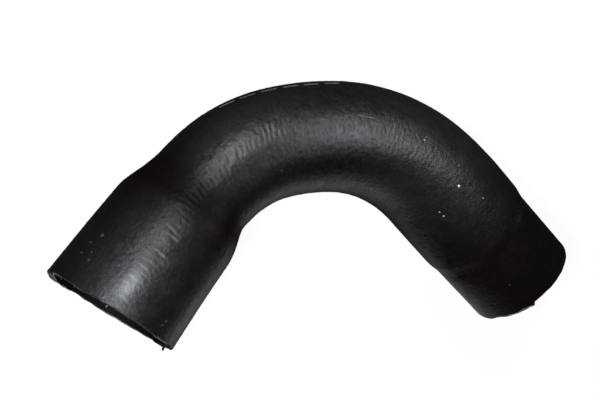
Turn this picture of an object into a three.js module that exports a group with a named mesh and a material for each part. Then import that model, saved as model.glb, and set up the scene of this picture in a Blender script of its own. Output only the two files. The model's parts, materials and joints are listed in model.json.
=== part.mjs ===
// Charge air hose: one moulded length of reinforced rubber hose.
// A wide, slightly flared bell end narrows through a reducer into a long bend, and the far arm
// steps down into a plain cuff. Both ends are cut by hand, a little out of square, and are open.
// Units are millimetres and +Z is up. The hose lies on its side, as it comes to rest by itself:
// X runs from the bell's mouth to the cuff's mouth, and the origin is at the middle of its base.

import * as THREE from "three";
import { ConvexHull } from "three/addons/math/ConvexHull.js";

// Wall of the hose, the same all along it
const WALL = 4.8;

// Bores, as diameters, from the bell's mouth to the cuff's mouth
const BELL_MOUTH_BORE = 66.4;
const BELL_BORE = 60.7;
const NECK_BORE = 49;
const BEND_BORE = 48.7;
const ARM_BORE = 53;
const CUFF_BORE = 51;
const CUFF_MOUTH_BORE = 50;

// Lengths along the centre line
const BELL_LENGTH = 54;
const REDUCER_LENGTH = 26;
const FIRST_STRAIGHT = 69;
const LAST_STRAIGHT = 82.5;
const CUFF_LENGTH = 38.5;
const STEP_LENGTH = 9;

// The bend: three arcs in one plane, each running smoothly into the next
const TIGHT_RADIUS = 82;
const TIGHT_ANGLE = 41.5;
const OPEN_RADIUS = 149;
const OPEN_ANGLE = 14;
const FAR_RADIUS = 103;
const FAR_ANGLE = 39;
const ARC_BLEND = 8;

// How far each cut leans from square, in degrees: the inside of the bend is the shorter side
const BELL_CUT_LEAN = 6.5;
const CUFF_CUT_LEAN = 2.5;
const CUT_REACH = 30;

// Facets: sides round the hose, and the spacing of its rings
const SIDES = 48;
const OUTER_RING_SPACING = { bell: 12, reducer: 3.6, bend: 6, arm: 10, step: 2.2, cuff: 11 };
const INNER_RING_SPACING = { bell: 16, reducer: 5.5, bend: 9.5, arm: 17, step: 4.3, cuff: 21 };
const WALK_STEP = 0.25;

// Places along the centre line, counted from the bell's mouth
const arcs = [
  { radius: TIGHT_RADIUS, angle: THREE.MathUtils.degToRad(TIGHT_ANGLE) },
  { radius: OPEN_RADIUS, angle: THREE.MathUtils.degToRad(OPEN_ANGLE) },
  { radius: FAR_RADIUS, angle: THREE.MathUtils.degToRad(FAR_ANGLE) },
];
let bendEnd = FIRST_STRAIGHT;
for (const arc of arcs) {
  arc.from = bendEnd;
  arc.to = bendEnd + arc.radius * arc.angle;
  bendEnd = arc.to;
}
const reducerEnd = BELL_LENGTH + REDUCER_LENGTH;
const bendMiddle = (arcs[1].from + arcs[1].to) / 2;
const hoseLength = bendEnd + LAST_STRAIGHT;
const cuffStart = hoseLength - CUFF_LENGTH;
const stepStart = cuffStart - STEP_LENGTH;

// Bore knots along the centre line; a conical stretch is straight-sided, the others ease in and out
const boreKnots = [
  { at: 0, bore: BELL_MOUTH_BORE },
  { at: BELL_LENGTH, bore: BELL_BORE, conical: true },
  { at: reducerEnd, bore: NECK_BORE },
  { at: bendMiddle, bore: BEND_BORE },
  { at: stepStart, bore: ARM_BORE },
  { at: cuffStart, bore: CUFF_BORE },
  { at: hoseLength, bore: CUFF_MOUTH_BORE, conical: true },
];

function boreRadius(s) {
  const last = boreKnots.length - 1;
  let i = 1;
  while (i < last && s > boreKnots[i].at) i += 1;
  const a = boreKnots[i - 1];
  const b = boreKnots[i];
  const share = b.conical
    ? (s - a.at) / (b.at - a.at)
    : THREE.MathUtils.smoothstep(s, a.at, b.at);
  return THREE.MathUtils.lerp(a.bore, b.bore, share) / 2;
}

// Curvature of the centre line: each arc's own, eased in and out over ARC_BLEND
function curvature(s) {
  const eased = (at) => THREE.MathUtils.smoothstep(s, at - ARC_BLEND / 2, at + ARC_BLEND / 2);
  let sum = 0;
  for (const arc of arcs) sum += (eased(arc.from) * (1 - eased(arc.to))) / arc.radius;
  return sum;
}

// The centre line is walked in small steps in the XY plane, turning right as it goes.
// Each sample holds its place along the hose, its point and its heading.
function walkCentreLine() {
  const count = Math.ceil(hoseLength / WALK_STEP);
  const step = hoseLength / count;
  const samples = [{ s: 0, x: 0, y: 0, heading: 0 }];
  for (let i = 1; i <= count; i += 1) {
    const before = samples[i - 1];
    const middle = before.s + step / 2;
    const turn = -curvature(middle) * step;
    const way = before.heading + turn / 2;
    samples.push({
      s: i * step,
      x: before.x + step * Math.cos(way),
      y: before.y + step * Math.sin(way),
      heading: before.heading + turn,
    });
  }
  return samples;
}

const centreLine = walkCentreLine();

function frameAt(s) {
  const place = (s / hoseLength) * (centreLine.length - 1);
  const i = Math.min(Math.floor(place), centreLine.length - 2);
  const a = centreLine[i];
  const b = centreLine[i + 1];
  const share = place - i;
  const heading = THREE.MathUtils.lerp(a.heading, b.heading, share);
  return {
    centre: new THREE.Vector3(
      THREE.MathUtils.lerp(a.x, b.x, share),
      THREE.MathUtils.lerp(a.y, b.y, share),
      0,
    ),
    along: new THREE.Vector3(Math.cos(heading), Math.sin(heading), 0),
    inward: new THREE.Vector3(Math.sin(heading), -Math.cos(heading), 0),
  };
}

// How far a ring leans forward on the inside of the bend, as a slope: all of it at a cut end,
// fading out over CUT_REACH
function ringLean(s) {
  const slope = (degrees) => Math.tan(THREE.MathUtils.degToRad(degrees));
  const nearBell = 1 - THREE.MathUtils.smoothstep(s, 0, CUT_REACH);
  const nearCuff = THREE.MathUtils.smoothstep(s, hoseLength - CUT_REACH, hoseLength);
  return slope(BELL_CUT_LEAN) * nearBell - slope(CUFF_CUT_LEAN) * nearCuff;
}

// One ring of points round the centre line
function ring(s, radius) {
  const { centre, along, inward } = frameAt(s);
  const points = [];
  for (let i = 0; i < SIDES; i += 1) {
    const angle = (2 * Math.PI * i) / SIDES;
    const sideways = radius * Math.cos(angle);
    const point = centre.clone();
    point.addScaledVector(inward, sideways);
    point.addScaledVector(along, sideways * ringLean(s));
    point.z += radius * Math.sin(angle);
    points.push(point);
  }
  return points;
}

// The places of the rings: each stretch is divided evenly at its own spacing
function ringPlaces(spacing) {
  const stretches = [
    [0, BELL_LENGTH, spacing.bell],
    [BELL_LENGTH, reducerEnd, spacing.reducer],
    [reducerEnd, bendEnd, spacing.bend],
    [bendEnd, stepStart, spacing.arm],
    [stepStart, cuffStart, spacing.step],
    [cuffStart, hoseLength, spacing.cuff],
  ];
  const places = [0];
  for (const [from, to, gap] of stretches) {
    const count = Math.max(1, Math.round((to - from) / gap));
    for (let i = 1; i <= count; i += 1) places.push(from + ((to - from) * i) / count);
  }
  return places;
}

// The skin runs along the outside from the bell to the cuff, over the cut, back along the bore
// and over the other cut, so it closes on itself both ways.
function hoseGeometry() {
  const outside = ringPlaces(OUTER_RING_SPACING).map((s) => ring(s, boreRadius(s) + WALL));
  const inside = ringPlaces(INNER_RING_SPACING).map((s) => ring(s, boreRadius(s)));
  const rings = [...outside, ...inside.reverse()];
  const positions = [];
  for (const points of rings) for (const point of points) positions.push(...point.toArray());
  const index = [];
  for (let r = 0; r < rings.length; r += 1) {
    const next = (r + 1) % rings.length;
    for (let i = 0; i < SIDES; i += 1) {
      const j = (i + 1) % SIDES;
      const a = r * SIDES + i;
      const b = r * SIDES + j;
      const c = next * SIDES + j;
      const d = next * SIDES + i;
      index.push(a, c, b, a, d, c);
    }
  }
  const geometry = new THREE.BufferGeometry();
  geometry.setAttribute("position", new THREE.Float32BufferAttribute(positions, 3));
  geometry.setIndex(index);
  geometry.computeVertexNormals();
  return geometry;
}

function pointsOf(geometry) {
  const position = geometry.getAttribute("position");
  const points = [];
  for (let i = 0; i < position.count; i += 1) {
    points.push(new THREE.Vector3().fromBufferAttribute(position, i));
  }
  return points;
}

// Centre of mass of the closed mesh, as a sum of tetrahedra from the origin
function centreOfMass(geometry) {
  const points = pointsOf(geometry);
  const index = geometry.index.array;
  const sum = new THREE.Vector3();
  let volume = 0;
  for (let i = 0; i < index.length; i += 3) {
    const [a, b, c] = [points[index[i]], points[index[i + 1]], points[index[i + 2]]];
    const part = a.dot(b.clone().cross(c)) / 6;
    volume += part;
    sum.addScaledVector(a.clone().add(b).add(c), part / 4);
  }
  return sum.divideScalar(volume);
}

// True where the line from the point along the face's normal goes through the face
function facePassedThrough(face, point) {
  let edge = face.edge;
  do {
    const from = edge.tail().point;
    const side = new THREE.Vector3().subVectors(edge.head().point, from).cross(face.normal);
    if (side.dot(new THREE.Vector3().subVectors(point, from)) > 0) return false;
    edge = edge.next;
  } while (edge !== face.edge);
  return true;
}

// The floor's direction: the hose rests on the face of its convex hull that its centre of mass
// stands over, and of those it takes the one nearest to lying flat on its side.
function restingDown(geometry) {
  const hull = new ConvexHull().setFromPoints(pointsOf(geometry));
  const centre = centreOfMass(geometry);
  const faces = hull.faces.filter((face) => facePassedThrough(face, centre));
  faces.sort((a, b) => a.normal.z - b.normal.z);
  return faces[0].normal.clone();
}

// Turns the hose down onto the floor, points it from mouth to mouth along X and stands it on Z = 0
// over the middle of its base.
function layDown(mesh) {
  const down = restingDown(mesh.geometry);
  const tip = new THREE.Quaternion().setFromUnitVectors(down, new THREE.Vector3(0, 0, -1));
  const chord = new THREE.Vector3()
    .subVectors(frameAt(hoseLength).centre, frameAt(0).centre)
    .applyQuaternion(tip);
  const turn = new THREE.Quaternion().setFromAxisAngle(
    new THREE.Vector3(0, 0, 1),
    -Math.atan2(chord.y, chord.x),
  );
  mesh.quaternion.multiplyQuaternions(turn, tip);
  mesh.updateMatrixWorld(true);
  const box = new THREE.Box3().setFromObject(mesh, true);
  const middle = box.getCenter(new THREE.Vector3());
  mesh.position.set(-middle.x, -middle.y, -box.min.z);
}

const rubber = new THREE.MeshStandardMaterial({ color: 0x1d1b1b, roughness: 0.5, metalness: 0 });

const hose = new THREE.Mesh(hoseGeometry(), rubber);
hose.name = "charge_air_hose";
layDown(hose);

const part = new THREE.Group();
part.add(hose);

export default part;
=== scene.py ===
import json
import math

import bpy
import numpy as np
from mathutils import Matrix, Vector


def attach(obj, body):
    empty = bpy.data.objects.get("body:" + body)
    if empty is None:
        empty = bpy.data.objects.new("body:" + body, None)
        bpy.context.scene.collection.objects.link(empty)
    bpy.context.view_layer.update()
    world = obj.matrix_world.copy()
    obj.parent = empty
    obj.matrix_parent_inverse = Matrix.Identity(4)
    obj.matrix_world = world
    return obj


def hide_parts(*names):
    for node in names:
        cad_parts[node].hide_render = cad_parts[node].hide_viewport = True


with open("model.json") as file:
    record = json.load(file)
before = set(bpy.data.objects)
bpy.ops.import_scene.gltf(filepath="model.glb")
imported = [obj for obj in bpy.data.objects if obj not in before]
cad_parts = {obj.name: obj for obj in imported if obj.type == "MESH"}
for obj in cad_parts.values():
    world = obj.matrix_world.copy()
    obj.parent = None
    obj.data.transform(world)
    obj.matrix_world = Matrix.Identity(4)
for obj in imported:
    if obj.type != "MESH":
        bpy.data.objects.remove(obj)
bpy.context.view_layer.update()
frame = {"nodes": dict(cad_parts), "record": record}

MM = 0.001
NODE = "charge_air_hose"
BODY = "root"

# Sizes of the hose, as in the CAD part: wall, bores and lengths along the centre line
WALL = 4.8
BELL_MOUTH_BORE = 66.4
BELL_BORE = 60.7
NECK_BORE = 49.0
BEND_BORE = 48.7
ARM_BORE = 53.0
CUFF_BORE = 51.0
CUFF_MOUTH_BORE = 50.0
BELL_LENGTH = 54.0
REDUCER_LENGTH = 26.0
FIRST_STRAIGHT = 69.0
LAST_STRAIGHT = 82.5
CUFF_LENGTH = 38.5
STEP_LENGTH = 9.0
ARCS = ((82.0, 41.5), (149.0, 14.0), (103.0, 39.0))
ARC_BLEND = 8.0
BELL_CUT_LEAN = 6.5
CUFF_CUT_LEAN = 2.5
CUT_REACH = 30.0


def smoothstep(x, low, high):
    t = np.clip((x - low) / (high - low), 0.0, 1.0)
    return t * t * (3.0 - 2.0 * t)


# Places along the centre line, counted from the bell's mouth
arc_spans = []
bend_end = FIRST_STRAIGHT
for arc_radius, arc_angle in ARCS:
    arc_start = bend_end
    bend_end = arc_start + arc_radius * np.radians(arc_angle)
    arc_spans.append((arc_radius, arc_start, bend_end))
REDUCER_END = BELL_LENGTH + REDUCER_LENGTH
BEND_MIDDLE = (arc_spans[1][1] + arc_spans[1][2]) / 2
HOSE_LENGTH = bend_end + LAST_STRAIGHT
CUFF_START = HOSE_LENGTH - CUFF_LENGTH
STEP_START = CUFF_START - STEP_LENGTH
BORE_KNOTS = (
    (0.0, BELL_MOUTH_BORE, False),
    (BELL_LENGTH, BELL_BORE, True),
    (REDUCER_END, NECK_BORE, False),
    (BEND_MIDDLE, BEND_BORE, False),
    (STEP_START, ARM_BORE, False),
    (CUFF_START, CUFF_BORE, False),
    (HOSE_LENGTH, CUFF_MOUTH_BORE, True),
)


def bore_radius(s):
    bore = np.full_like(s, BELL_MOUTH_BORE)
    for (low, low_bore, _), (high, high_bore, conical) in zip(BORE_KNOTS, BORE_KNOTS[1:]):
        share = np.clip((s - low) / (high - low), 0.0, 1.0)
        if not conical:
            share = share * share * (3.0 - 2.0 * share)
        bore = np.where(s >= low, low_bore + (high_bore - low_bore) * share, bore)
    return bore / 2


def curvature(s):
    total = 0.0
    for radius, start, end in arc_spans:
        begun = smoothstep(s, start - ARC_BLEND / 2, start + ARC_BLEND / 2)
        left = 1.0 - smoothstep(s, end - ARC_BLEND / 2, end + ARC_BLEND / 2)
        total = total + begun * left / radius
    return total


# The centre line, walked in small even steps and turning right as it goes
LONGEST_STEP = 0.25
WALK_COUNT = int(np.ceil(HOSE_LENGTH / LONGEST_STEP))
walk_step = HOSE_LENGTH / WALK_COUNT
walk_s = np.linspace(0.0, HOSE_LENGTH, WALK_COUNT + 1)
turns = -curvature(walk_s[:-1] + walk_step / 2) * walk_step
walk_heading = np.concatenate(([0.0], np.cumsum(turns)))
ways = walk_heading[:-1] + turns / 2
walk_x = np.concatenate(([0.0], np.cumsum(walk_step * np.cos(ways))))
walk_y = np.concatenate(([0.0], np.cumsum(walk_step * np.sin(ways))))


# The real reducer sags a little towards the inside of the bend: how far, where and how widely
REDUCER_SAG = 0.8
REDUCER_SAG_AT = 76.0
REDUCER_SAG_REACH = 19.0
# The arm is a trace fuller in two places: place, reach and amount in mm, and the side, 1 for the
# inside of the bend and -1 for the outside
ARM_SWELLS = ((205.0, 45.0, 0.45, 1.0), (248.0, 20.0, 0.9, -1.0))


def drawn(s, phi, proud=0.0):
    """Points of the drawing, in mm: s along the hose, phi round it, proud of the outer skin."""
    x = np.interp(s, walk_s, walk_x)
    y = np.interp(s, walk_s, walk_y)
    heading = np.interp(s, walk_s, walk_heading)
    nothing = np.zeros_like(heading)
    along = np.stack([np.cos(heading), np.sin(heading), nothing], -1)
    inward = np.stack([np.sin(heading), -np.cos(heading), nothing], -1)
    past = np.minimum(s, 0.0) + np.maximum(s - HOSE_LENGTH, 0.0)
    near_bell = 1.0 - smoothstep(s, 0.0, CUT_REACH)
    near_cuff = smoothstep(s, HOSE_LENGTH - CUT_REACH, HOSE_LENGTH)
    lean = np.tan(np.radians(BELL_CUT_LEAN)) * near_bell
    lean = lean - np.tan(np.radians(CUFF_CUT_LEAN)) * near_cuff
    radius = bore_radius(s) + WALL + proud
    for at, reach, amount, side in ARM_SWELLS:
        swell = amount * np.exp(-(((s - at) / reach) ** 2))
        radius = radius + swell * np.maximum(side * np.cos(phi), 0.0)
    sideways = radius * np.cos(phi)
    points = np.stack([x, y, radius * np.sin(phi)], -1)
    sag = REDUCER_SAG * np.exp(-(((s - REDUCER_SAG_AT) / REDUCER_SAG_REACH) ** 2))
    points = points + inward * (sideways + sag)[..., None]
    return points + along * (sideways * lean + past)[..., None]


# How the drawing lies in the row frame: its turn from the two cut faces' directions, its place
# from the middle of the bell's cut face in the CAD mesh
mounts = {mount["name"]: mount for mount in frame["record"]["mounts"]}
bell_mount = mounts["bell_end_face"]
bell_out = np.array(bell_mount["axis"])
cuff_out = np.array(mounts["cuff_end_face"]["axis"])
row_up = np.cross(bell_out, cuff_out)
row_up /= np.linalg.norm(row_up)
bell_out /= np.linalg.norm(bell_out)
row_axes = np.stack([bell_out, np.cross(row_up, bell_out), row_up], 1)
drawn_out = np.array([-1.0, -np.tan(np.radians(BELL_CUT_LEAN)), 0.0])
drawn_out /= np.linalg.norm(drawn_out)
drawn_up = np.array([0.0, 0.0, 1.0])
drawn_axes = np.stack([drawn_out, np.cross(drawn_up, drawn_out), drawn_up], 1)
TURN = row_axes @ drawn_axes.T
# Vertices of the CAD mesh this near the plane of the bell's cut, in metres, are of its cut face
ON_FACE = 2e-5
cad_points = np.array([vertex.co for vertex in frame["nodes"][NODE].data.vertices])
off_face = (cad_points - np.array(bell_mount["pos_m"])) @ bell_out
face_points = np.unique(np.round(cad_points[np.abs(off_face) < ON_FACE], 6), axis=0)
PLACE = face_points.mean(0)


def placed(s, phi, proud=0.0):
    """The same points in the row frame, in metres."""
    s, phi, proud = np.broadcast_arrays(
        np.asarray(s, float), np.asarray(phi, float), np.asarray(proud, float)
    )
    return drawn(s, phi, proud) * MM @ TURN.T + PLACE


# Way round the body of the hose, in mm, for the random fields over its skin
GIRTH = 190.0


def field(seed, length_along, length_round, waves=36):
    """A smooth random field over the skin, closed round the hose; its lengths are in mm."""
    random = np.random.RandomState(seed)
    along = random.normal(0.0, 1.0, waves) / length_along
    turns_round = np.round(random.normal(0.0, 1.0, waves) * GIRTH / length_round)
    phases = random.uniform(0.0, 2 * np.pi, waves)

    def value(s, phi):
        total = 0.0
        for rate, times, phase in zip(along, turns_round, phases):
            total = total + np.cos(2 * np.pi * rate * s + times * phi + phase)
        return total * np.sqrt(2.0 / waves)

    return value


# Ribs of the textile wrap, in mm and degrees: strongest along a crest, and faded on the arm
RIB_PITCH_BELL = 3.4
RIB_PITCH_BODY = 2.65
RIB_DEPTH = 0.23
RIB_WANDER = 0.6
RIB_CREST_AT = (0, 60, 120, 150, 170, 230)
RIB_CREST = (115.5, 118, 120.5, 109, 104, 100)
RIB_CREST_HALF = 10.0
RIB_ON_CREST = 1.4
RIB_OFF_CREST = 0.25
RIB_FROM = 10.0
RIB_FULL = 30.0
RIB_LEAN = 0.3
RIB_LEAN_AT = 120.0
RIB_LEAN_RADIUS = 29.0
RIB_FADE = 0.8
RIB_FADE_FROM = 130.0
RIB_FADE_TO = 215.0
BELL_SMOOTH = 5.0
CUFF_SMOOTH = 6.0
# How strong the ribs are from patch to patch: the middle, the spread and the limits
PATCH_MIDDLE = 0.42
PATCH_SPREAD = 0.5
PATCH_LIMITS = (0.04, 1.25)
# Dents in the skin: small ones, shallower on the arm, and wide ones
SMALL_DENT = 0.035
ARM_DENT_LESS = 0.017
ARM_DENT_FROM = 175.0
ARM_DENT_TO = 225.0
WIDE_DENT = 0.05
WIDE_DENT_SPREAD = 0.5
rib_rate = 1.0 / RIB_PITCH_BELL + (1.0 / RIB_PITCH_BODY - 1.0 / RIB_PITCH_BELL) * smoothstep(
    walk_s, BELL_LENGTH, REDUCER_END
)
rib_count = np.concatenate(([0.0], np.cumsum(rib_rate[:-1] * walk_step)))
rib_wander = field(3, length_along=16.0, length_round=9.0)
rib_patches = field(5, length_along=9.0, length_round=6.0, waves=48)
dents_small = field(7, length_along=6.0, length_round=5.0, waves=60)
dents_wide = field(9, length_along=30.0, length_round=30.0)


def skin_depth(s, phi):
    """How far the outer skin lies under its nominal radius, in mm: ribs, dents, ripples."""
    slant = RIB_LEAN * smoothstep(s, BELL_LENGTH, REDUCER_END)
    shift = slant * RIB_LEAN_RADIUS * np.sin(phi - np.radians(RIB_LEAN_AT))
    ribs = np.interp(s - shift, walk_s, rib_count)
    wave = 0.5 + 0.5 * np.cos(2 * np.pi * ribs + RIB_WANDER * rib_wander(s, phi))
    strength = np.clip(PATCH_MIDDLE + PATCH_SPREAD * rib_patches(s, phi), *PATCH_LIMITS)
    crest = np.interp(s, RIB_CREST_AT, RIB_CREST)
    off_crest = np.abs((np.degrees(phi) - crest + 180.0) % 360.0 - 180.0)
    on_crest = np.exp(-((off_crest / RIB_CREST_HALF) ** 2)) * smoothstep(s, RIB_FROM, RIB_FULL)
    strength = strength * (RIB_OFF_CREST + RIB_ON_CREST * on_crest)
    strength = strength * (1.0 - RIB_FADE * smoothstep(s, RIB_FADE_FROM, RIB_FADE_TO))
    near_cuff = smoothstep(s, HOSE_LENGTH - CUFF_SMOOTH, HOSE_LENGTH)
    ends = smoothstep(s, 0.0, BELL_SMOOTH) * (1.0 - near_cuff)
    depth = RIB_DEPTH * wave * strength * ends
    dent = SMALL_DENT - ARM_DENT_LESS * smoothstep(s, ARM_DENT_FROM, ARM_DENT_TO)
    depth = depth + dent * (1.0 + dents_small(s, phi))
    return depth + WIDE_DENT * (1.0 + dents_wide(s, phi) * WIDE_DENT_SPREAD)


# Waves round a cut face, as (waves in one turn, size); each starts at a random phase of a turn
CUT_WAVES = ((2, 0.25), (3, 0.2), (5, 0.16), (9, 0.18), (17, 0.26), (31, 0.2))
FULL_TURN = 6.3


def cut_wander(seed, reach, proud_share):
    """How far a cut wanders back from its plane, in mm, round the hose; some of it stands proud."""
    random = np.random.RandomState(seed)
    phases = [random.uniform(0, FULL_TURN) for _ in CUT_WAVES]

    def value(phi):
        total = 0.0
        for (times, size), phase in zip(CUT_WAVES, phases):
            total = total + size * np.cos(times * phi + phase)
        return reach * (np.clip(0.5 + 0.5 * total, 0.0, 1.0) - proud_share)

    return value


bell_wander = cut_wander(11, reach=0.9, proud_share=0.6)
cuff_wander = cut_wander(13, reach=0.6, proud_share=0.5)

# The hose as one closed skin: along the outside, over the cuff's cut, back along the bore and
# over the bell's cut
SIDES = 128
RIB_STEPS = 5
CUT_STEPS = 9
ROUND_STEPS = 4
BORE_RINGS = 40
BORE_MARGIN = 1.0
BORE_WAVES = 0.04
EDGE_ROUND = 0.35
EDGE_GAP = 0.1
CUT_FADE = 9.0
CUT_ROUGH = 0.14
RING_ROUGH = 0.03
# The burr on the cuff's edge: its size, where it starts and ends, how softly, how ragged it is from
# one side of the ring to the next but one, and the room that it needs at most
CUFF_BURR = 2.0
CUFF_BURR_FROM = 14.0
CUFF_BURR_TO = 74.0
CUFF_BURR_SOFT = 14.0
RAGGED = (0.65, 1.2)
RAGGED_EVERY = 2
CUFF_BURR_ROOM = 1.25 * CUFF_BURR
CUFF_SCUFF = 0.4
# The thin lip along the burr: angles in degrees, and mm that it stands out there
CUFF_LIP_AT = (20, 32, 57, 64, 68, 70.2)
CUFF_LIP = (0.0, 1.4, 1.3, 2.0, 2.0, 0.0)
LIP_FADE = 3.5
# How the hand-made cuts run round the hose: angles in degrees, and mm that they stand out there
BELL_TRIM_AT = (0, 20, 50, 90, 150, 172, 212, 240, 255, 270, 290, 315, 332, 346, 360)
BELL_TRIM = (1.2, 1.0, 0.4, 0.0, 0.0, -0.9, -1.1, 0.8, 0.7, -0.4, 0.2, 0.3, 0.7, 0.5, 1.2)
CUFF_TRIM_AT = (0, 15, 30, 45, 60, 75, 105, 120, 135, 150, 180, 230, 340, 360)
CUFF_TRIM = (0.8, 0.4, -0.3, 0.3, 0.3, -0.3, 0.3, 0.6, 1.0, 1.3, 0.9, 0.0, 0.2, 0.8)
# Worn places of the bell's cut, painted pale; in part they are a painted highlight along its lip.
# How worn, where each starts and ends in degrees, and how softly
BELL_SCUFFS_AND_HIGHLIGHTS = (
    (0.8, 172.0, 190.0, 6.0),
    (1.0, 56.0, 76.0, 6.0),
    (1.0, 292.0, 326.0, 8.0),
    (0.15, 140.0, 172.0, 10.0),
    (0.35, 322.0, 352.0, 8.0),
    (1.0, 212.0, 264.0, 8.0),
)
angles = 2 * np.pi * np.arange(SIDES) / SIDES
side_degrees = np.degrees(angles)
SKIN, CUT, BORE = 0, 1, 2
ring_s = []
ring_proud = []
ring_kind = []
ring_scuff_and_highlight = []


def between(low, high, soft):
    """1 where a side of the ring lies between two angles, easing off over the soft margin."""
    begun = smoothstep(side_degrees, low, low + soft)
    return begun * (1.0 - smoothstep(side_degrees, high - soft, high))


cuff_burr = between(CUFF_BURR_FROM, CUFF_BURR_TO, CUFF_BURR_SOFT)
burr_random = np.random.RandomState(17)
ragged_at = np.arange(0, SIDES + RAGGED_EVERY, RAGGED_EVERY)
ragged_by = burr_random.uniform(*RAGGED, len(ragged_at))
ragged = np.interp(np.arange(SIDES), ragged_at, ragged_by)
cuff_lip = np.interp(side_degrees, CUFF_LIP_AT, CUFF_LIP) * ragged
bell_trim = np.interp(side_degrees, BELL_TRIM_AT, BELL_TRIM)
cuff_trim = np.interp(side_degrees, CUFF_TRIM_AT, CUFF_TRIM)
# Pale on the bell's cut: wear, and a painted highlight along its lip
bell_scuff_and_highlight = sum(worn * between(low, high, soft) for worn, low, high, soft in BELL_SCUFFS_AND_HIGHLIGHTS)


def add_ring(s, proud, kind, scuff_and_highlight=0.0):
    ring_s.append(np.broadcast_to(s, angles.shape).astype(float))
    ring_proud.append(np.broadcast_to(proud, angles.shape).astype(float))
    ring_kind.append(kind)
    ring_scuff_and_highlight.append(np.broadcast_to(scuff_and_highlight, angles.shape).astype(float))


def wandered(s):
    """The real place of a ring drawn at s, where the cuts wander near the ends."""
    at_bell = (bell_wander(angles) - bell_trim) * (1.0 - smoothstep(s, 0.0, CUT_FADE))
    near_cuff = smoothstep(s, HOSE_LENGTH - CUT_FADE, HOSE_LENGTH)
    at_cuff = (cuff_wander(angles) - cuff_trim) * near_cuff
    lip = cuff_lip * smoothstep(s, HOSE_LENGTH - LIP_FADE, HOSE_LENGTH)
    return s + at_bell - at_cuff + lip


outer_count = int(round((HOSE_LENGTH - 2 * EDGE_ROUND) / (RIB_PITCH_BODY / RIB_STEPS)))
last_skin = HOSE_LENGTH - EDGE_ROUND - CUFF_BURR_ROOM - EDGE_GAP
for s in np.linspace(EDGE_ROUND, last_skin, outer_count):
    add_ring(wandered(s), -skin_depth(np.full(SIDES, s), angles), SKIN)


def add_cut(end, sign, depths, seed, scuff_and_highlight):
    """A cut face: end is its plane, and sign is 1 where the hose lies after it."""
    random = np.random.RandomState(seed)
    base = wandered(end)
    skin_in = -skin_depth(np.full(SIDES, end), angles)
    for depth in depths:
        rough = random.uniform(0.0, CUT_ROUGH, SIDES) + random.uniform(0.0, RING_ROUGH)
        proud = skin_in * (1 - depth / WALL) - depth
        add_ring(base + sign * rough, proud, CUT, scuff_and_highlight)


def add_rounding(end, sign, outside, outward, edge, scuff_and_highlight):
    """A rounded edge of that size between a face and the cut, in order along the skin."""
    base = wandered(end)
    turns_round = np.linspace(0.0, np.pi / 2, ROUND_STEPS)
    if not outward:
        turns_round = turns_round[::-1]
    for turn in turns_round:
        back = edge * (1 - np.sin(turn))
        down = edge * (1 - np.cos(turn))
        if outside:
            proud = -skin_depth(np.full(SIDES, end), angles) - down
        else:
            proud = -WALL + down
        add_ring(base + sign * back, proud, CUT, scuff_and_highlight)


cuff_edge = EDGE_ROUND + CUFF_BURR * cuff_burr * ragged
inner_edge = WALL - EDGE_ROUND - EDGE_GAP
cuff_depths = np.linspace(EDGE_ROUND + CUFF_BURR_ROOM + EDGE_GAP, inner_edge, CUT_STEPS)
bell_depths = np.linspace(inner_edge, EDGE_ROUND + EDGE_GAP, CUT_STEPS)
add_rounding(HOSE_LENGTH, -1, outside=True, outward=True, edge=cuff_edge, scuff_and_highlight=cuff_burr)
add_cut(HOSE_LENGTH, -1, cuff_depths, seed=21, scuff_and_highlight=CUFF_SCUFF * cuff_burr)
add_rounding(HOSE_LENGTH, -1, outside=False, outward=False, edge=EDGE_ROUND, scuff_and_highlight=0.0)
bore_field = field(15, length_along=14.0, length_round=20.0)
for s in np.linspace(HOSE_LENGTH - BORE_MARGIN, BORE_MARGIN, BORE_RINGS):
    ring = np.full(SIDES, s)
    add_ring(wandered(s), BORE_WAVES * bore_field(ring, angles) - WALL, BORE)
add_rounding(0.0, 1, outside=False, outward=True, edge=EDGE_ROUND, scuff_and_highlight=bell_scuff_and_highlight)
add_cut(0.0, 1, bell_depths, seed=23, scuff_and_highlight=bell_scuff_and_highlight)
add_rounding(0.0, 1, outside=True, outward=False, edge=EDGE_ROUND, scuff_and_highlight=bell_scuff_and_highlight)


# Gloss of the skin along the hose, painted to stand in for how the light falls: painted highlight
# on the bell, the bend and the arm, and painted shade on the reducer and towards the cuff.
# A painted gloss of 2 is a gloss of 1, and the arm and the painted highlight on the bell go past
# that.
PAINTED_GLOSS_AT = (0, 26, 44, 56, 66, 75, 84, 98, 134, 170, 190, 222, 240, 262, 280, 318)
PAINTED_GLOSS = (1.3, 1.2, 0.95, 0.5, 0.15, 0.25, 0.85, 1.2, 1.4, 1.5, 1.95, 2.1, 1.6, 0.85, 0.4, 0.25)
PAINTED_GLOSS_FULL = 2.0
# Fine speckle of the painted gloss: its strength and limits, and where on the bend there is more of
# it
SPECKLE = 0.08
SPECKLE_LIMITS = (-1.5, 1.8)
BEND_SPECKLE = 0.12
BEND_SPECKLE_AT = 158.0
BEND_SPECKLE_REACH = 24.0
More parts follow.
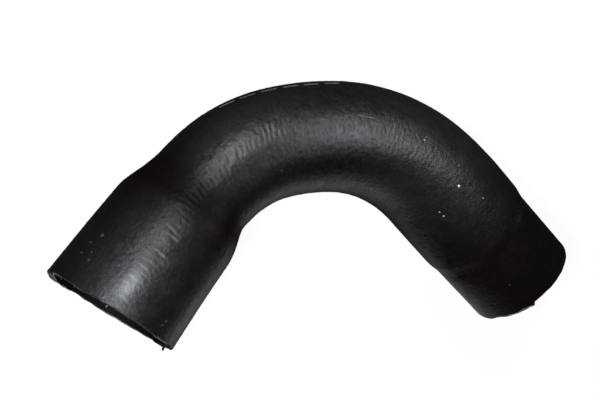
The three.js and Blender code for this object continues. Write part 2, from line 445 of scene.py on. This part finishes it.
# Painted highlights and painted shade: distance, angle, half length in mm, half width in degrees,
# gloss added
PAINTED_GLOSS_SPOTS = (
    (14.0, 119.0, 8.0, 6.0, 2.15),
    (100.0, 121.0, 14.0, 7.0, 0.3),
    (154.0, 104.0, 22.0, 7.0, 0.5),
    (142.0, 72.0, 45.0, 13.0, -0.8),
    (238.0, 28.0, 42.0, 30.0, -1.0),
)
rings_at = np.array(ring_s)
ring_painted_gloss = np.interp(rings_at, PAINTED_GLOSS_AT, PAINTED_GLOSS)
speckle_field = field(15, length_along=3.6, length_round=3.2, waves=90)
speckle = np.clip(speckle_field(rings_at, angles[None, :]), *SPECKLE_LIMITS)
on_bend = np.exp(-(((rings_at - BEND_SPECKLE_AT) / BEND_SPECKLE_REACH) ** 2))
ring_painted_gloss = ring_painted_gloss * (1.0 + (SPECKLE + BEND_SPECKLE * on_bend) * speckle)
for at, angle, half_length, half_width, added in PAINTED_GLOSS_SPOTS:
    along = (rings_at - at) / half_length
    across = (side_degrees[None, :] - angle) / half_width
    ring_painted_gloss = ring_painted_gloss + added * np.exp(-(along**2) - across**2)


def new_object(name, vertices, faces, materials, face_kinds=None, smooth=True):
    mesh = bpy.data.meshes.new(name)
    mesh.from_pydata([tuple(v) for v in vertices], [], [tuple(f) for f in faces])
    for material in materials:
        mesh.materials.append(material)
    if face_kinds is not None:
        mesh.polygons.foreach_set("material_index", np.asarray(face_kinds, np.int32))
    mesh.polygons.foreach_set("use_smooth", np.full(len(faces), smooth))
    mesh.update()
    made = bpy.data.objects.new(name, mesh)
    bpy.context.scene.collection.objects.link(made)
    return made


# Materials
def new_material(name):
    material = bpy.data.materials.new(name)
    material.use_nodes = True
    nodes = material.node_tree.nodes
    return material, nodes, material.node_tree.links, nodes["Principled BSDF"]


def noise(nodes, links, coords, scale, detail=3.0, roughness=0.55):
    node = nodes.new("ShaderNodeTexNoise")
    node.inputs["Scale"].default_value = scale
    node.inputs["Detail"].default_value = detail
    node.inputs["Roughness"].default_value = roughness
    links.new(coords, node.inputs["Vector"])
    return node.outputs["Fac"]


def remap(nodes, links, value, span, to_span):
    node = nodes.new("ShaderNodeMapRange")
    node.inputs["From Min"].default_value, node.inputs["From Max"].default_value = span
    node.inputs["To Min"].default_value, node.inputs["To Max"].default_value = to_span
    links.new(value, node.inputs["Value"])
    return node.outputs["Result"]


def mixed(nodes, links, share, first, second):
    """A colour mixed from two: each is a colour or another node's output."""
    node = nodes.new("ShaderNodeMix")
    node.data_type = "RGBA"
    colours = [socket for socket in node.inputs if socket.type == "RGBA"]
    for socket, value in zip(colours, (first, second)):
        if isinstance(value, bpy.types.NodeSocket):
            links.new(value, socket)
        else:
            socket.default_value = (*value, 1.0)
    links.new(share, node.inputs["Factor"])
    return [socket for socket in node.outputs if socket.type == "RGBA"][0]


def bumped(nodes, links, height, strength, distance, below=None):
    node = nodes.new("ShaderNodeBump")
    node.inputs["Strength"].default_value = strength
    node.inputs["Distance"].default_value = distance
    links.new(height, node.inputs["Height"])
    if below is not None:
        links.new(below, node.inputs["Normal"])
    return node.outputs["Normal"]


def math_node(nodes, links, operation, first, second):
    node = nodes.new("ShaderNodeMath")
    node.operation = operation
    for socket, value in zip(node.inputs, (first, second)):
        if isinstance(value, float):
            socket.default_value = value
        else:
            links.new(value, socket)
    return node.outputs["Value"]


def object_coords(nodes):
    return nodes.new("ShaderNodeTexCoord").outputs["Object"]


def vertex_value(nodes, name):
    """The number of that name that the mesh gives each vertex."""
    node = nodes.new("ShaderNodeAttribute")
    node.attribute_name = name
    return node.outputs["Fac"]


# Tints, roughness and gloss of the rubber, and the tints of a cut: its own, and where it is
# scuffed, at the bell pale and partly a painted highlight along its lip, and warmer at the cuff
SKIN_TINTS = ((0.0046, 0.0023, 0.0018), (0.003, 0.0019, 0.0017))
SKIN_ROUGHNESS = (0.40, 0.50)
BORE_TINTS = ((0.003, 0.0025, 0.0023), (0.0022, 0.002, 0.0019))
BORE_ROUGHNESS = (0.6, 0.75)
BORE_GLOSS = 0.12
GRAIN = 0.6
CUT_TINTS = ((0.010, 0.009, 0.0085), (0.045, 0.036, 0.03))
SCUFF_AND_HIGHLIGHT_TINT = (0.3, 0.28, 0.26)
WARM_SCUFF_TINT = (0.3, 0.225, 0.175)
MATT = 0.75


def rubber_material(name, tints, roughness, gloss=None):
    """Black rubber; its gloss is a number, or comes from the mesh's painted highlight and shade and
    may go past 1.
    """
    material, nodes, links, shader = new_material(name)
    coords = object_coords(nodes)
    wide = noise(nodes, links, coords, scale=28.0, detail=3.0)
    blotches = noise(nodes, links, coords, scale=130.0, detail=4.0)
    scales = noise(nodes, links, coords, scale=420.0, detail=2.0, roughness=0.5)
    fine = noise(nodes, links, coords, scale=1700.0, detail=2.0)
    colour = mixed(nodes, links, remap(nodes, links, wide, (0.35, 0.65), (0.0, 1.0)), *tints)
    links.new(colour, shader.inputs["Base Color"])
    rough = remap(nodes, links, blotches, (0.3, 0.7), roughness)
    links.new(rough, shader.inputs["Roughness"])
    coarse_bump = bumped(nodes, links, blotches, strength=0.25, distance=0.0004)
    scale_bump = bumped(
        nodes, links, scales, strength=1.5 * GRAIN, distance=0.0003, below=coarse_bump
    )
    normal = bumped(nodes, links, fine, strength=GRAIN, distance=0.00006, below=scale_bump)
    links.new(normal, shader.inputs["Normal"])
    if gloss is not None:
        shader.inputs["Specular IOR Level"].default_value = gloss
    else:
        # Gloss painted on the mesh: painted highlight and painted shade
        painted_gloss = vertex_value(nodes, "painted_gloss")
        level = remap(nodes, links, painted_gloss, (0.0, PAINTED_GLOSS_FULL), (0.0, 1.0))
        level.node.clamp = False
        links.new(level, shader.inputs["Specular IOR Level"])
    return material


def cut_material():
    """Rough cut rubber: pale where it is scuffed and where the bell's lip has a painted highlight,
    warmer at the cuff.
    """
    material, nodes, links, shader = new_material("rubber_cut")
    coords = object_coords(nodes)
    strands = noise(nodes, links, coords, scale=900.0, detail=4.0)
    patches = noise(nodes, links, coords, scale=110.0, detail=3.0)
    base = mixed(nodes, links, strands, *CUT_TINTS)
    # Wear, and at the bell's lip a painted highlight
    scuff_and_highlight = vertex_value(nodes, "scuff_and_highlight")
    broken = remap(nodes, links, patches, (0.38, 0.58), (0.35, 1.0))
    share = math_node(nodes, links, "MULTIPLY", scuff_and_highlight, broken)
    share.node.use_clamp = True
    tint = mixed(nodes, links, vertex_value(nodes, "warm"), SCUFF_AND_HIGHLIGHT_TINT, WARM_SCUFF_TINT)
    links.new(mixed(nodes, links, share, base, tint), shader.inputs["Base Color"])
    shader.inputs["Roughness"].default_value = MATT
    links.new(bumped(nodes, links, strands, strength=0.8, distance=0.0003), shader.inputs["Normal"])
    return material


def set_values(made, name, values):
    """Gives each vertex a number that a material reads by that name."""
    attribute = made.data.attributes.new(name, "FLOAT", "POINT")
    attribute.data.foreach_set("value", np.asarray(values).ravel().astype(np.float32))


skin_rubber = rubber_material("rubber_skin", SKIN_TINTS, SKIN_ROUGHNESS)
bore_rubber = rubber_material("rubber_bore", BORE_TINTS, BORE_ROUGHNESS, BORE_GLOSS)
cut_rubber = cut_material()

points = placed(rings_at, angles[None, :], np.array(ring_proud))
ring_total = len(ring_s)
rows = np.arange(ring_total)[:, None]
columns = np.arange(SIDES)[None, :]
next_rows = (rows + 1) % ring_total
next_columns = (columns + 1) % SIDES
quads = np.stack(
    [
        rows * SIDES + columns,
        next_rows * SIDES + columns,
        next_rows * SIDES + next_columns,
        rows * SIDES + next_columns,
    ],
    -1,
).reshape(-1, 4)
kinds = np.repeat(ring_kind, SIDES)
hose = new_object(
    "moulded_hose",
    points.reshape(-1, 3),
    quads.tolist(),
    [skin_rubber, cut_rubber, bore_rubber],
    kinds,
)
set_values(hose, "scuff_and_highlight", ring_scuff_and_highlight)
set_values(hose, "warm", rings_at > HOSE_LENGTH / 2)
# The gloss carries painted highlight and painted shade along the hose
set_values(hose, "painted_gloss", ring_painted_gloss)
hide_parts(NODE)
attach(hose, BODY)


# Small flakes stuck to the skin, as (s, angle, width in mm, tone from dull to pale)
FLAKES = (
    (199.4, 111.5, 1.3, 0.3),
    (199.9, 115.0, 0.9, 0.12),
    (223.1, 108.0, 1.1, 0.12),
    (224.6, 97.0, 0.8, 0.06),
    (229.4, 91.5, 1.7, 0.85),
    (246.1, 101.5, 1.1, 0.2),
    (232.9, 59.5, 1.3, 0.3),
    (236.8, 60.0, 1.3, 0.3),
    (297.9, 62.5, 0.8, 0.03),
    (26.1, 165.5, 2.4, 0.02),
    (15.0, 172.0, 1.6, 0.003),
    (13.6, 160.5, 1.9, 0.003),
    (20.9, 171.0, 1.4, 0.004),
    (17.2, 163.0, 1.3, 0.003),
    (9.0, 76.0, 1.6, 0.002),
    (6.1, 77.0, 1.6, 0.002),
    (113.6, 80.5, 0.8, 0.08),
    (121.0, 83.0, 0.7, 0.04),
)
# A flake has a middle and two rings of corners, on its shoulder and on its rim. Its heights over
# the skin are shares of its width, and its rim lies under the skin by a depth in mm.
FLAKE_CORNERS = 8
FLAKE_POINTS = 1 + 2 * FLAKE_CORNERS
FLAKE_TOP = 0.32
FLAKE_SHOULDER = 0.55
FLAKE_SHOULDER_TOP = 0.26
FLAKE_SUNK = 0.08
FLAKE_RAGGED = (0.7, 1.25)
FLAKE_LONGER = 1.1


def flake(s, angle, width, random):
    """A low irregular chip: a middle, a ring half-way out and a rim just under the skin."""
    phi = np.radians(angle)
    centre_depth = skin_depth(np.array(s), np.array(phi))
    around = np.linspace(0, 2 * np.pi, FLAKE_CORNERS + 1)[:-1]
    radius = bore_radius(np.array(s)) + WALL
    vertices = [placed(s, phi, FLAKE_TOP * width - centre_depth)]
    for share, height in ((FLAKE_SHOULDER, FLAKE_SHOULDER_TOP * width), (1.0, -FLAKE_SUNK)):
        reach = width / 2 * share * random.uniform(*FLAKE_RAGGED, FLAKE_CORNERS)
        along = s + reach * np.cos(around) * FLAKE_LONGER
        across = phi + reach * np.sin(around) / radius
        vertices.extend(placed(along, across, height - centre_depth))
    faces = []
    for i in range(FLAKE_CORNERS):
        j = (i + 1) % FLAKE_CORNERS
        faces.append((0, 1 + i, 1 + j))
        faces.append((1 + i, 1 + FLAKE_CORNERS + i, 1 + FLAKE_CORNERS + j, 1 + j))
    return vertices, faces


def joined(parts):
    """One list of vertices and faces from several."""
    vertices = []
    faces = []
    for part_vertices, part_faces in parts:
        start = len(vertices)
        vertices.extend(part_vertices)
        faces.extend([tuple(start + i for i in face) for face in part_faces])
    return vertices, faces


def plain_material(name, tints, roughness, scale):
    """Two tints in fine spots, a little uneven."""
    material, nodes, links, shader = new_material(name)
    coords = object_coords(nodes)
    spots = noise(nodes, links, coords, scale)
    links.new(mixed(nodes, links, spots, *tints), shader.inputs["Base Color"])
    shader.inputs["Roughness"].default_value = roughness
    links.new(bumped(nodes, links, spots, strength=0.4, distance=0.0001), shader.inputs["Normal"])
    return material


def add_piece(name, parts, material):
    vertices, faces = joined(parts)
    made = new_object(name, vertices, faces, [material])
    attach(made, BODY)
    return made


def flake_material():
    """Dirt and dust, from dull to pale with each flake's tone."""
    material, nodes, links, shader = new_material("flakes")
    spots = noise(nodes, links, object_coords(nodes), scale=900.0)
    pale = mixed(nodes, links, spots, (0.85, 0.82, 0.74), (0.6, 0.56, 0.5))
    colour = mixed(nodes, links, vertex_value(nodes, "tone"), (0.01, 0.0095, 0.009), pale)
    links.new(colour, shader.inputs["Base Color"])
    shader.inputs["Roughness"].default_value = MATT
    return material


flake_random = np.random.RandomState(31)
chips = [flake(s, angle, width, flake_random) for s, angle, width, _ in FLAKES]
flakes = add_piece("skin_flakes", chips, flake_material())
set_values(flakes, "tone", np.repeat([tone for _, _, _, tone in FLAKES], FLAKE_POINTS))


# Strands at the cuts: where a strand's root lies and how it bends, as shares of its length, how far
# it wavers in mm, and how much thinner it is at its tip
STRAND_SIDES = 6
STRAND_POINTS = 7
STRAND_ROOT = -0.35
STRAND_DROOP = 0.4
STRAND_WAVER = 0.1
STRAND_TAPER = 0.6
# A direction that no strand runs along, from which the sides of its tube are turned
OFF_STRAND = (0.31, 0.2, 0.93)
# Steps in degrees round the hose and in mm into the wall that give a strand's own directions
STEP_ROUND = 3
STEP_DOWN = 2.0


def strand(path, radius):
    """A thin tapering tube along points in metres."""
    path = np.array(path)
    vertices = []
    ways = np.gradient(path, axis=0)
    for i, (point, way) in enumerate(zip(path, ways)):
        way = way / np.linalg.norm(way)
        side = np.cross(way, OFF_STRAND)
        side /= np.linalg.norm(side)
        other = np.cross(way, side)
        thick = radius * MM * (1.0 - STRAND_TAPER * i / (len(path) - 1))
        for k in range(STRAND_SIDES):
            turn = 2 * np.pi * k / STRAND_SIDES
            vertices.append(point + (side * np.cos(turn) + other * np.sin(turn)) * thick)
    faces = []
    for i in range(len(path) - 1):
        here = i * STRAND_SIDES
        after = here + STRAND_SIDES
        for k in range(STRAND_SIDES):
            j = (k + 1) % STRAND_SIDES
            faces.append((here + k, here + j, after + j, after + k))
    faces.append(tuple(reversed(range(STRAND_SIDES))))
    last = (len(path) - 1) * STRAND_SIDES
    faces.append(tuple(last + k for k in range(STRAND_SIDES)))
    return vertices, faces


def cut_strand(end, outward, angle, depth, length, lean, radius, random):
    """A strand that leaves the cut at an angle and a depth in the wall, and bends sideways."""
    start = placed(end, np.radians(angle), -depth)
    way = outward / np.linalg.norm(outward)
    across = placed(end, np.radians(angle + STEP_ROUND), -depth) - start
    across /= np.linalg.norm(across)
    up = start - placed(end, np.radians(angle), -depth - STEP_DOWN)
    up /= np.linalg.norm(up)
    path = []
    for t in np.linspace(STRAND_ROOT, 1.0, STRAND_POINTS):
        bend = max(t, 0.0) ** 2
        reach = length * MM * t * (1 - STRAND_DROOP * bend)
        waver = random.uniform(-STRAND_WAVER, STRAND_WAVER)
        path.append(start + (way * reach + across * lean * MM * bend + up * waver * MM))
    return strand(path, radius)


# Loose textile fibres at each cut: how many, where they start, which way they point, and in mm how
# long they are, how far they lean to either side and how thick
FIBRES = (
    (26, 0.6, bell_out, (0.7, 1.6), 1.0, (0.07, 0.12)),
    (16, HOSE_LENGTH - 0.5, cuff_out, (0.6, 1.3), 0.8, (0.07, 0.11)),
)
FIBRE_DEPTHS = (1.2, 3.8)
FIBRE_TINTS = ((0.26, 0.24, 0.22), (0.1, 0.09, 0.08))
fibre_random = np.random.RandomState(37)
fibres = []
for count, fibre_start, way_out, lengths, most_lean, radii in FIBRES:
    for _ in range(count):
        fibres.append(
            cut_strand(
                fibre_start,
                way_out,
                fibre_random.uniform(0, 360),
                fibre_random.uniform(*FIBRE_DEPTHS),
                fibre_random.uniform(*lengths),
                fibre_random.uniform(-most_lean, most_lean),
                fibre_random.uniform(*radii),
                fibre_random,
            )
        )

# Bigger tags left by the knife at the cuts: end, angle, depth, length, thickness
TAGS = (
    ("bell", 124.5, 1.2, 3.4, 0.5),
    ("bell", 62.0, 0.9, 2.2, 0.55),
    ("bell", 187.0, 1.0, 1.4, 0.6),
    ("bell", 312.0, 1.6, 1.1, 0.5),
    ("cuff", 68.5, 1.0, 1.6, 0.6),
    ("cuff", 34.0, 1.2, 0.9, 0.5),
)
TAG_START = 0.8
TAG_LEAN = 0.4
for tag_end, tag_angle, tag_depth, tag_length, tag_thick in TAGS:
    at_bell = tag_end == "bell"
    fibres.append(
        cut_strand(
            TAG_START if at_bell else HOSE_LENGTH - TAG_START,
            bell_out if at_bell else cuff_out,
            tag_angle,
            tag_depth,
            tag_length,
            TAG_LEAN,
            tag_thick,
            fibre_random,
        )
    )
# Dark tag of rubber that hangs from the lower edge of the bell's cut
dark_tag = cut_strand(
    end=-TAG_START,
    outward=bell_out,
    angle=6.5,
    depth=1.0,
    length=3.2,
    lean=1.7,
    radius=1.0,
    random=fibre_random,
)
add_piece("rubber_tag", [dark_tag], bore_rubber)
fibre_material = plain_material("fibre", FIBRE_TINTS, roughness=0.8, scale=700.0)
add_piece("cut_fibres", fibres, fibre_material)


# Plain broken stripe of worn ink along the outer side of the bend: where each bar starts and ends,
# and the stripe's angle at places along the hose
INK_BARS = (
    (106.5, 113.0),
    (115.0, 121.5),
    (124.0, 131.0),
    (134.0, 141.5),
    (144.0, 151.0),
    (154.0, 161.5),
)
INK_ANGLES = ((106.0, 187.0), (124.0, 180.0), (152.0, 174.0), (168.0, 174.0))
INK_WIDTH = 2.0
INK_ROWS = 30
INK_TINTS = ((0.26, 0.26, 0.25), (0.05, 0.05, 0.05))
# Thin patches on the bend: the skin's radius there, how uneven their sides are, and how far the
# middle stands over the skin and the border lies under it
SKIN_PATCH_RADIUS = 29.2
SKIN_PATCH_UNEVEN = 0.12
SKIN_PATCH_TOP = 0.09
SKIN_PATCH_SUNK = 0.05
SKIN_PATCH_COLUMNS = 5


def skin_patch(start, length, width, angles_along, random, rows):
    """A thin patch that follows the ribs, its border pressed into the skin."""
    along = np.linspace(start, start + length, rows)
    middle = np.interp(along, [a for a, _ in angles_along], [b for _, b in angles_along])
    across = np.linspace(-0.5, 0.5, SKIN_PATCH_COLUMNS)
    vertices = []
    for i, s in enumerate(along):
        for k, share in enumerate(across):
            wide = width * (1.0 + SKIN_PATCH_UNEVEN * random.uniform(-1, 1))
            angle = np.radians(middle[i]) + share * wide / SKIN_PATCH_RADIUS
            border = i in (0, len(along) - 1) or k in (0, len(across) - 1)
            lift = -SKIN_PATCH_SUNK if border else SKIN_PATCH_TOP
            depth = skin_depth(np.array(s), np.array(angle))
            vertices.append(placed(s, angle, lift - depth))
    faces = []
    for i in range(len(along) - 1):
        for k in range(len(across) - 1):
            a = i * len(across) + k
            faces.append((a, a + len(across), a + len(across) + 1, a + 1))
    return vertices, faces


ink_random = np.random.RandomState(41)
bars = []
for bar_from, bar_to in INK_BARS:
    bar_length = bar_to - bar_from
    bars.append(skin_patch(bar_from, bar_length, INK_WIDTH, INK_ANGLES, ink_random, INK_ROWS))
ink_material = plain_material("worn_ink", INK_TINTS, roughness=0.6, scale=1100.0)
add_piece("ink_stripe", bars, ink_material)

# Pale scratch on the upper side of the bend
SCRATCH = ((161.5, 123.8), (165.0, 122.2), (170.8, 120.8))
SCRATCH_WIDTH = 0.8
SCRATCH_ROWS = 12
SCRATCH_TINTS = ((0.1, 0.103, 0.108), (0.04, 0.04, 0.04))
scratch_start = SCRATCH[0][0]
scratch_length = SCRATCH[-1][0] - scratch_start
scratch = skin_patch(
    scratch_start, scratch_length, SCRATCH_WIDTH, SCRATCH, ink_random, SCRATCH_ROWS
)
scratch_material = plain_material("scratch", SCRATCH_TINTS, roughness=0.6, scale=1200.0)
add_piece("skin_scratch", [scratch], scratch_material)

# Floor: the camera sees it lifted to white. In the rubber's gloss the photograph shows a pale floor
# only to one side, so glossy rays see all of the lift there and a share of it elsewhere.
FLOOR_HALF = 30.0
FLOOR_COLOUR = (0.12, 0.12, 0.12)
FLOOR_IN_GLOSS = (0.02, 0.02, 0.02)
FLOOR_LIFT = 0.92
GLOSSY_SHARE = 0.01
# Spans across the floor, in metres, through which its pale side and its dimmer back ease in, and
# the back's share of the lift
PALE_X = (-0.04, 0.16)
PALE_Y = (-0.03, -0.1)
BACK_X = (0.1, -0.1)
BACK_Y = (0.07, 0.2)
BACK_SHARE = 0.33
WHITE = (1.0, 1.0, 1.0, 1.0)


def eased(nodes, links, value, span):
    """0 to 1 as the value goes through the span."""
    node = nodes.new("ShaderNodeMapRange")
    node.interpolation_type = "SMOOTHSTEP"
    node.inputs["From Min"].default_value = min(span)
    node.inputs["From Max"].default_value = max(span)
    node.inputs["To Min"].default_value = 0.0 if span[1] > span[0] else 1.0
    node.inputs["To Max"].default_value = 1.0 if span[1] > span[0] else 0.0
    links.new(value, node.inputs["Value"])
    return node.outputs["Result"]


def inside(nodes, links, x, y, x_span, y_span):
    """1 on one side of the floor, easing off to 0 through the two spans."""
    across = eased(nodes, links, x, x_span)
    along = eased(nodes, links, y, y_span)
    return math_node(nodes, links, "MULTIPLY", across, along)


def glossy_share(nodes, links):
    """How much of the floor's white glossy rays see: all of it on the pale side of the floor."""
    place = nodes.new("ShaderNodeNewGeometry")
    apart = nodes.new("ShaderNodeSeparateXYZ")
    links.new(place.outputs["Position"], apart.inputs["Vector"])
    x, y = apart.outputs["X"], apart.outputs["Y"]
    pale = inside(nodes, links, x, y, PALE_X, PALE_Y)
    back = inside(nodes, links, x, y, BACK_X, BACK_Y)
    back = math_node(nodes, links, "MULTIPLY", back, BACK_SHARE)
    lit = math_node(nodes, links, "MAXIMUM", pale, back)
    return math_node(nodes, links, "MAXIMUM", lit, GLOSSY_SHARE)


def camera_sees(nodes, links, path):
    """1 for camera rays, and for rays that come through something clear."""
    direct = path.outputs["Is Camera Ray"]
    through = path.outputs["Is Transmission Ray"]
    return math_node(nodes, links, "MAXIMUM", direct, through)


def floor_material():
    material, nodes, links, _ = new_material("floor")
    nodes.clear()
    output = nodes.new("ShaderNodeOutputMaterial")
    diffuse = nodes.new("ShaderNodeBsdfDiffuse")
    path = nodes.new("ShaderNodeLightPath")
    is_glossy = path.outputs["Is Glossy Ray"]
    colour = mixed(nodes, links, is_glossy, FLOOR_COLOUR, FLOOR_IN_GLOSS)
    links.new(colour, diffuse.inputs["Color"])
    glow = nodes.new("ShaderNodeEmission")
    glow.inputs["Color"].default_value = WHITE
    glossy = math_node(nodes, links, "MULTIPLY", is_glossy, glossy_share(nodes, links))
    seen = math_node(nodes, links, "MAXIMUM", camera_sees(nodes, links, path), glossy)
    lift = math_node(nodes, links, "MULTIPLY", seen, FLOOR_LIFT)
    links.new(lift, glow.inputs["Strength"])
    both = nodes.new("ShaderNodeAddShader")
    links.new(diffuse.outputs["BSDF"], both.inputs[0])
    links.new(glow.outputs["Emission"], both.inputs[1])
    links.new(both.outputs["Shader"], output.inputs["Surface"])
    return material


floor = new_object(
    "floor",
    [
        (-FLOOR_HALF, -FLOOR_HALF, 0.0),
        (FLOOR_HALF, -FLOOR_HALF, 0.0),
        (FLOOR_HALF, FLOOR_HALF, 0.0),
        (-FLOOR_HALF, FLOOR_HALF, 0.0),
    ],
    [(0, 1, 2, 3)],
    [floor_material()],
    smooth=False,
)

# World: dim on the object, white where the camera sees it
WORLD_COLOUR = (0.01, 0.0103, 0.0106, 1.0)


def studio_world():
    world = bpy.data.worlds.new("studio")
    world.use_nodes = True
    nodes = world.node_tree.nodes
    links = world.node_tree.links
    nodes.clear()
    output = nodes.new("ShaderNodeOutputWorld")
    path = nodes.new("ShaderNodeLightPath")
    dim = nodes.new("ShaderNodeBackground")
    dim.inputs["Color"].default_value = WORLD_COLOUR
    white = nodes.new("ShaderNodeBackground")
    white.inputs["Color"].default_value = WHITE
    either = nodes.new("ShaderNodeMixShader")
    links.new(camera_sees(nodes, links, path), either.inputs["Fac"])
    links.new(dim.outputs["Background"], either.inputs[1])
    links.new(white.outputs["Background"], either.inputs[2])
    links.new(either.outputs["Shader"], output.inputs["Surface"])
    return world


bpy.context.scene.world = studio_world()

# Lamps: name, azimuth and elevation in degrees, distance, size and power in watts. The key lamp
# stands beside the photograph's viewpoint and the far one past the outside of the bend; the two
# near ones are weak and only bring out the gloss on the bend and the arm.
LAMP_TARGET = Vector((0.0, 0.0, 0.04))
LAMPS = (
    ("lamp_key", 165.0, 52.0, 1.1, 0.3, 12.6),
    ("lamp_far", 105.0, 40.0, 1.1, 0.3, 5.7),
    ("lamp_near_back", 60.0, 40.0, 0.22, 0.06, 0.09),
    ("lamp_near_right", 30.0, 52.0, 0.22, 0.06, 0.07),
)
LAMP_COLOUR = (0.875, 0.94, 1.0)


def add_lamp(name, azimuth, elevation, distance, size, power):
    """A square lamp that points at the target and isn't seen itself."""
    lamp_data = bpy.data.lights.new(name, "AREA")
    lamp_data.shape = "SQUARE"
    lamp_data.size = size
    lamp_data.energy = power
    lamp_data.color = LAMP_COLOUR
    lamp = bpy.data.objects.new(name, lamp_data)
    bpy.context.scene.collection.objects.link(lamp)
    turn = math.radians(azimuth)
    rise = math.radians(elevation)
    level = math.cos(rise)
    towards = Vector((level * math.cos(turn), level * math.sin(turn), math.sin(rise)))
    side = Vector((0.0, 0.0, 1.0)).cross(towards).normalized()
    lamp_turn = Matrix((side, towards.cross(side), towards)).transposed()
    lamp_place = LAMP_TARGET + towards * distance
    lamp.matrix_world = Matrix.Translation(lamp_place) @ lamp_turn.to_4x4()
    lamp.visible_camera = False


for lamp_sizes in LAMPS:
    add_lamp(*lamp_sizes)

# Camera: the photograph's viewpoint
CAMERA_AT = (-0.988556, 0.52825, 1.691677)
CAMERA_RIGHT = Vector((0.870146, 0.090475, 0.484416))
CAMERA_UP = Vector((0.051851, 0.960736, -0.272577))
CAMERA_BACK = Vector((-0.490058, 0.262299, 0.83129))
SENSOR = 36.0
PHOTO_WIDTH = 600
FOCAL_PIXELS = 3801.745
camera_data = bpy.data.cameras.new("camera")
camera_data.sensor_width = SENSOR
camera_data.lens = FOCAL_PIXELS * SENSOR / PHOTO_WIDTH
camera_data.clip_start = 0.1
camera_data.clip_end = 100.0
camera = bpy.data.objects.new("camera", camera_data)
bpy.context.scene.collection.objects.link(camera)
camera_turn = Matrix((CAMERA_RIGHT, CAMERA_UP, CAMERA_BACK)).transposed()
camera.matrix_world = Matrix.Translation(CAMERA_AT) @ camera_turn.to_4x4()
bpy.context.scene.camera = camera
bpy.context.scene.view_settings.view_transform = "Standard"

bpy.context.view_layer.update()
